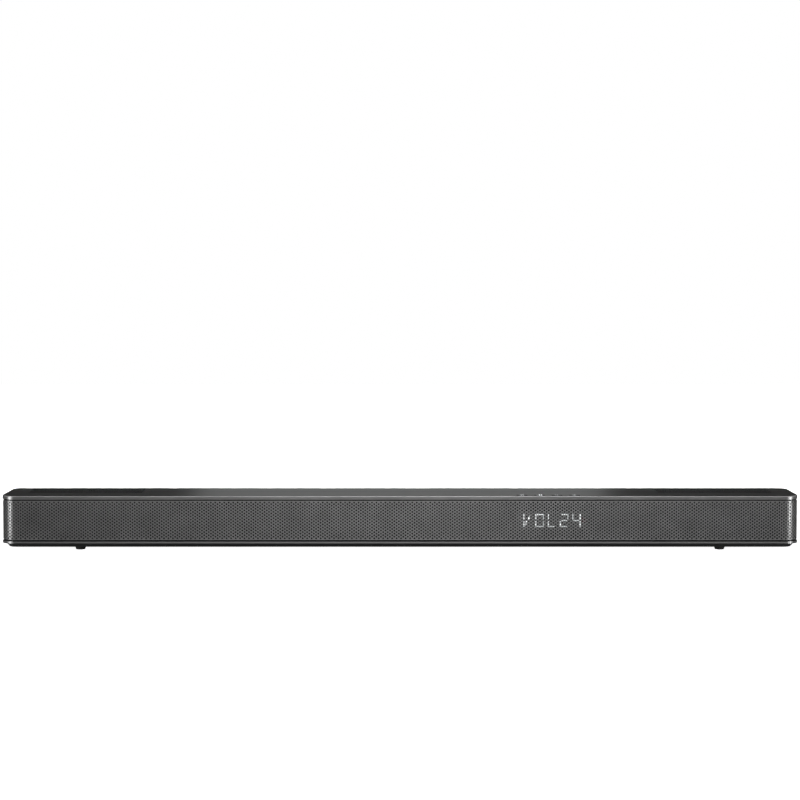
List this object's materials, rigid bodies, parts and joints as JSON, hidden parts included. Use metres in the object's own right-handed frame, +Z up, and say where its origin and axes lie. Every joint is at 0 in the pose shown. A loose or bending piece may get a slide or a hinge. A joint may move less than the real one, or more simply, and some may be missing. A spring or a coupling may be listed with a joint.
{
  "type": "soundbar",
  "caption": "Long low soundbar with a wrap-round perforated grille, lit front display, top keys, hidden drivers, rear socket bays and rubber feet.",
  "frame": {"origin": "on the surface that the feet stand on, under the middle of the cabinet", "axes": "+X along the cabinet to the listener's right, +Y to the back, +Z up; the grille faces -Y"},
  "size_m": [1, 0.105, 0.0691],
  "materials": {
    "cover_plastic": "satin charcoal plate with a fine brushed grain",
    "shell_plastic": "fine spark-eroded matt texture",
    "grille_metal": "matt charcoal powder coat on perforated steel",
    "acoustic_cloth": "sheer woven black cloth",
    "light_guide": "frosted clear acrylic, lit white from behind",
    "receiver_lens": "dark infrared lens",
    "key_plastic": "satin charcoal with pale printed symbols",
    "circuit_board": "green lacquer",
    "socket_plastic": "moulded black",
    "socket_metal": "tinned steel shell",
    "heat_sink_aluminium": "plain extruded",
    "transformer_iron": "varnished laminations",
    "foot_rubber": "matt moulded rubber",
    "screw_steel": "black zinc plate",
    "insert_brass": "turned, knurled",
    "basket_steel": "black pressed steel",
    "magnet_ferrite": "dark ferrite with plated plates",
    "surround_rubber": "soft rubber roll",
    "cone_fibre": "pressed fibre",
    "coil_copper": "enamelled copper winding"
  },
  "bodies": {
    "cabinet": {"base_shell": "shell_plastic", "top_cover": "cover_plastic", "rear_panel": "shell_plastic", "front_baffle": "shell_plastic", "front_grille": "grille_metal", "acoustic_cloth": "acoustic_cloth", "left_chamber_wall": "shell_plastic", "right_chamber_wall": "shell_plastic", "left_top_grille": "grille_metal", "right_top_grille": "grille_metal", "display_board": "circuit_board", "display_segments": "light_guide", "ir_receiver": "receiver_lens", "key_board": "circuit_board", "tact_switches": "socket_plastic", "main_board": "circuit_board", "wireless_module": "circuit_board", "heat_sink": "heat_sink_aluminium", "hdmi_ports": "socket_metal", "optical_port": "socket_plastic", "usb_port": "socket_metal", "aux_jack": "socket_plastic", "power_board": "circuit_board", "power_transformer": "transformer_iron", "bulk_capacitors": "heat_sink_aluminium", "mains_inlet": "socket_plastic", "rubber_feet": "foot_rubber", "case_screws": "screw_steel", "driver_screws": "screw_steel", "board_screws": "screw_steel", "wall_mount_inserts": "insert_brass", "left_basket": "basket_steel", "left_magnet": "magnet_ferrite", "left_surround": "surround_rubber", "centre_basket": "basket_steel", "centre_magnet": "magnet_ferrite", "centre_surround": "surround_rubber", "right_basket": "basket_steel", "right_magnet": "magnet_ferrite", "right_surround": "surround_rubber", "left_up_basket": "basket_steel", "left_up_magnet": "magnet_ferrite", "left_up_surround": "surround_rubber", "right_up_basket": "basket_steel", "right_up_magnet": "magnet_ferrite", "right_up_surround": "surround_rubber"},
    "power_key": {"power_key": "key_plastic"},
    "source_key": {"source_key": "key_plastic"},
    "volume_down_key": {"volume_down_key": "key_plastic"},
    "volume_up_key": {"volume_up_key": "key_plastic"},
    "left_diaphragm": {"left_cone": "cone_fibre", "left_voice_coil": "coil_copper"},
    "centre_diaphragm": {"centre_cone": "cone_fibre", "centre_voice_coil": "coil_copper"},
    "right_diaphragm": {"right_cone": "cone_fibre", "right_voice_coil": "coil_copper"},
    "left_up_diaphragm": {"left_up_cone": "cone_fibre", "left_up_voice_coil": "coil_copper"},
    "right_up_diaphragm": {"right_up_cone": "cone_fibre", "right_up_voice_coil": "coil_copper"}
  },
  "joints": [
    {"name": "power_key_press", "type": "slide", "parent": "cabinet", "child": "power_key", "axis": [0, 0, -1], "range_m": [0, 0.0005], "stiffness_N_per_m": 1500},
    {"name": "source_key_press", "type": "slide", "parent": "cabinet", "child": "source_key", "axis": [0, 0, -1], "range_m": [0, 0.0005], "stiffness_N_per_m": 1500},
    {"name": "volume_down_key_press", "type": "slide", "parent": "cabinet", "child": "volume_down_key", "axis": [0, 0, -1], "range_m": [0, 0.0005], "stiffness_N_per_m": 1500},
    {"name": "volume_up_key_press", "type": "slide", "parent": "cabinet", "child": "volume_up_key", "axis": [0, 0, -1], "range_m": [0, 0.0005], "stiffness_N_per_m": 1500},
    {"name": "left_diaphragm_travel", "type": "slide", "parent": "cabinet", "child": "left_diaphragm", "axis": [0, -1, 0], "range_m": [-0.002, 0.002], "stiffness_N_per_m": 1200, "deforming": ["left_surround"]},
    {"name": "centre_diaphragm_travel", "type": "slide", "parent": "cabinet", "child": "centre_diaphragm", "axis": [0, -1, 0], "range_m": [-0.002, 0.002], "stiffness_N_per_m": 1200, "deforming": ["centre_surround"]},
    {"name": "right_diaphragm_travel", "type": "slide", "parent": "cabinet", "child": "right_diaphragm", "axis": [0, -1, 0], "range_m": [-0.002, 0.002], "stiffness_N_per_m": 1200, "deforming": ["right_surround"]},
    {"name": "left_up_diaphragm_travel", "type": "slide", "parent": "cabinet", "child": "left_up_diaphragm", "axis": [0, 0, 1], "range_m": [-0.002, 0.002], "stiffness_N_per_m": 1200, "deforming": ["left_up_surround"]},
    {"name": "right_up_diaphragm_travel", "type": "slide", "parent": "cabinet", "child": "right_up_diaphragm", "axis": [0, 0, 1], "range_m": [-0.002, 0.002], "stiffness_N_per_m": 1200, "deforming": ["right_up_surround"]}
  ]
}
